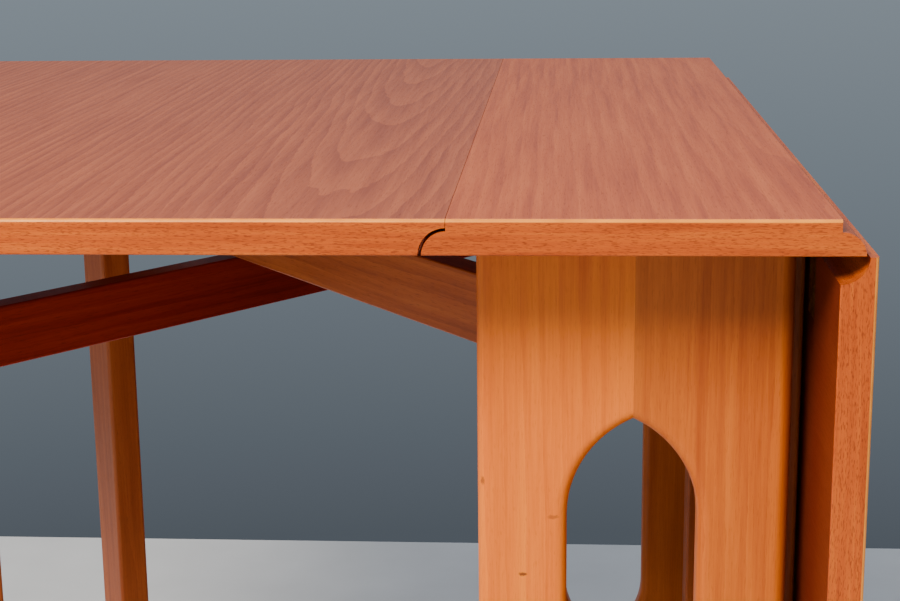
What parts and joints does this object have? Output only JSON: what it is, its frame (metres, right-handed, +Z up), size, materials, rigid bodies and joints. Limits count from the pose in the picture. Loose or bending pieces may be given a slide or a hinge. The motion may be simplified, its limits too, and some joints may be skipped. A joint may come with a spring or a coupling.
{
  "type": "drop leaf table",
  "caption": "Drop leaf table with a narrow fixed top on two arched end panels, rule-jointed leaves and swinging gate legs, one leaf raised and one hanging.",
  "frame": {"origin": "on the floor, in the middle of the whole footprint with the left leaf raised and the right leaf hanging", "axes": "+Z up, +Y along the length of the top from the near end to the far end, +X from the raised left leaf to the hanging right leaf"},
  "size_m": [0.8346, 0.9, 0.735],
  "materials": {
    "top_veneer": "satin oiled reddish-brown veneer",
    "edge_wood": "satin oiled solid lipping",
    "panel_wood": "satin oiled solid wood, fine vertical grain",
    "leg_wood": "satin oiled solid wood",
    "rail_wood": "satin oiled solid wood",
    "frame_wood": "planed, unfinished hidden framing",
    "dowel_wood": "plain beech dowel",
    "brass": "aged brass",
    "steel": "zinc-plated steel",
    "glide": "matt dark plastic"
  },
  "bodies": {
    "base": {"fixed_top_board": "top_veneer", "near_top_lipping": "edge_wood", "far_top_lipping": "edge_wood", "near_panel_left_board": "panel_wood", "near_panel_right_board": "panel_wood", "far_panel_left_board": "panel_wood", "far_panel_right_board": "panel_wood", "panel_dowels": "dowel_wood", "top_spine": "frame_wood", "stretcher": "frame_wood", "near_cleats": "frame_wood", "far_cleats": "frame_wood", "cleat_screws": "steel", "panel_glides": "glide", "top_hinge_plates": "brass", "top_hinge_pins": "brass", "top_hinge_screws": "brass", "gate_hinge_fixed_plates": "brass", "gate_hinge_pins": "brass", "gate_hinge_fixed_screws": "brass"},
    "left_leaf": {"left_leaf_board": "top_veneer", "left_leaf_near_lipping": "edge_wood", "left_leaf_far_lipping": "edge_wood", "left_leaf_edge_lipping": "edge_wood", "left_leaf_hinge_flaps": "brass", "left_leaf_hinge_screws": "brass", "left_leaf_stops": "frame_wood"},
    "right_leaf": {"right_leaf_board": "top_veneer", "right_leaf_near_lipping": "edge_wood", "right_leaf_far_lipping": "edge_wood", "right_leaf_edge_lipping": "edge_wood", "right_leaf_hinge_flaps": "brass", "right_leaf_hinge_screws": "brass", "right_leaf_stops": "frame_wood"},
    "left_upper_gate": {"left_upper_gate_rail": "rail_wood", "left_upper_gate_leg": "leg_wood", "left_upper_gate_dowels": "dowel_wood", "left_upper_gate_glide": "glide", "left_upper_gate_hinge_plate": "brass", "left_upper_gate_hinge_screws": "brass"},
    "left_lower_gate": {"left_lower_gate_rail": "rail_wood", "left_lower_gate_leg": "leg_wood", "left_lower_gate_dowels": "dowel_wood", "left_lower_gate_glide": "glide", "left_lower_gate_hinge_plate": "brass", "left_lower_gate_hinge_screws": "brass"},
    "right_upper_gate": {"right_upper_gate_rail": "rail_wood", "right_upper_gate_leg": "leg_wood", "right_upper_gate_dowels": "dowel_wood", "right_upper_gate_glide": "glide", "right_upper_gate_hinge_plate": "brass", "right_upper_gate_hinge_screws": "brass"},
    "right_lower_gate": {"right_lower_gate_rail": "rail_wood", "right_lower_gate_leg": "leg_wood", "right_lower_gate_dowels": "dowel_wood", "right_lower_gate_glide": "glide", "right_lower_gate_hinge_plate": "brass", "right_lower_gate_hinge_screws": "brass"}
  },
  "joints": [
    {"name": "right_leaf_raise", "type": "hinge", "parent": "base", "child": "right_leaf", "pos_m": [0.39675, 0, 0.7145], "axis": [0, -1, 0], "range_deg": [0, 90]},
    {"name": "left_leaf_lift", "type": "hinge", "parent": "base", "child": "left_leaf", "pos_m": [0.18275, 0, 0.7145], "axis": [0, 1, 0], "range_deg": [0, 0.6]},
    {"name": "left_upper_gate_fold", "type": "hinge", "parent": "base", "child": "left_upper_gate", "pos_m": [0.20915, -0.3379, 0.3], "axis": [0, 0, -1], "range_deg": [0, 38]},
    {"name": "left_lower_gate_fold", "type": "hinge", "parent": "base", "child": "left_lower_gate", "pos_m": [0.20915, 0.3379, 0.3], "axis": [0, 0, 1], "range_deg": [0, 39.5]},
    {"name": "right_upper_gate_swing", "type": "hinge", "parent": "base", "child": "right_upper_gate", "pos_m": [0.37035, -0.3379, 0.3], "axis": [0, 0, -1], "range_deg": [0, 0.1]},
    {"name": "right_lower_gate_swing", "type": "hinge", "parent": "base", "child": "right_lower_gate", "pos_m": [0.37035, 0.3379, 0.3], "axis": [0, 0, 1], "range_deg": [0, 0.10394]}
  ],
  "couplings": [
    {"joint": "left_lower_gate_fold", "follows": "left_upper_gate_fold", "ratio": 1.0394},
    {"joint": "right_lower_gate_swing", "follows": "right_upper_gate_swing", "ratio": 1.0394}
  ]
}
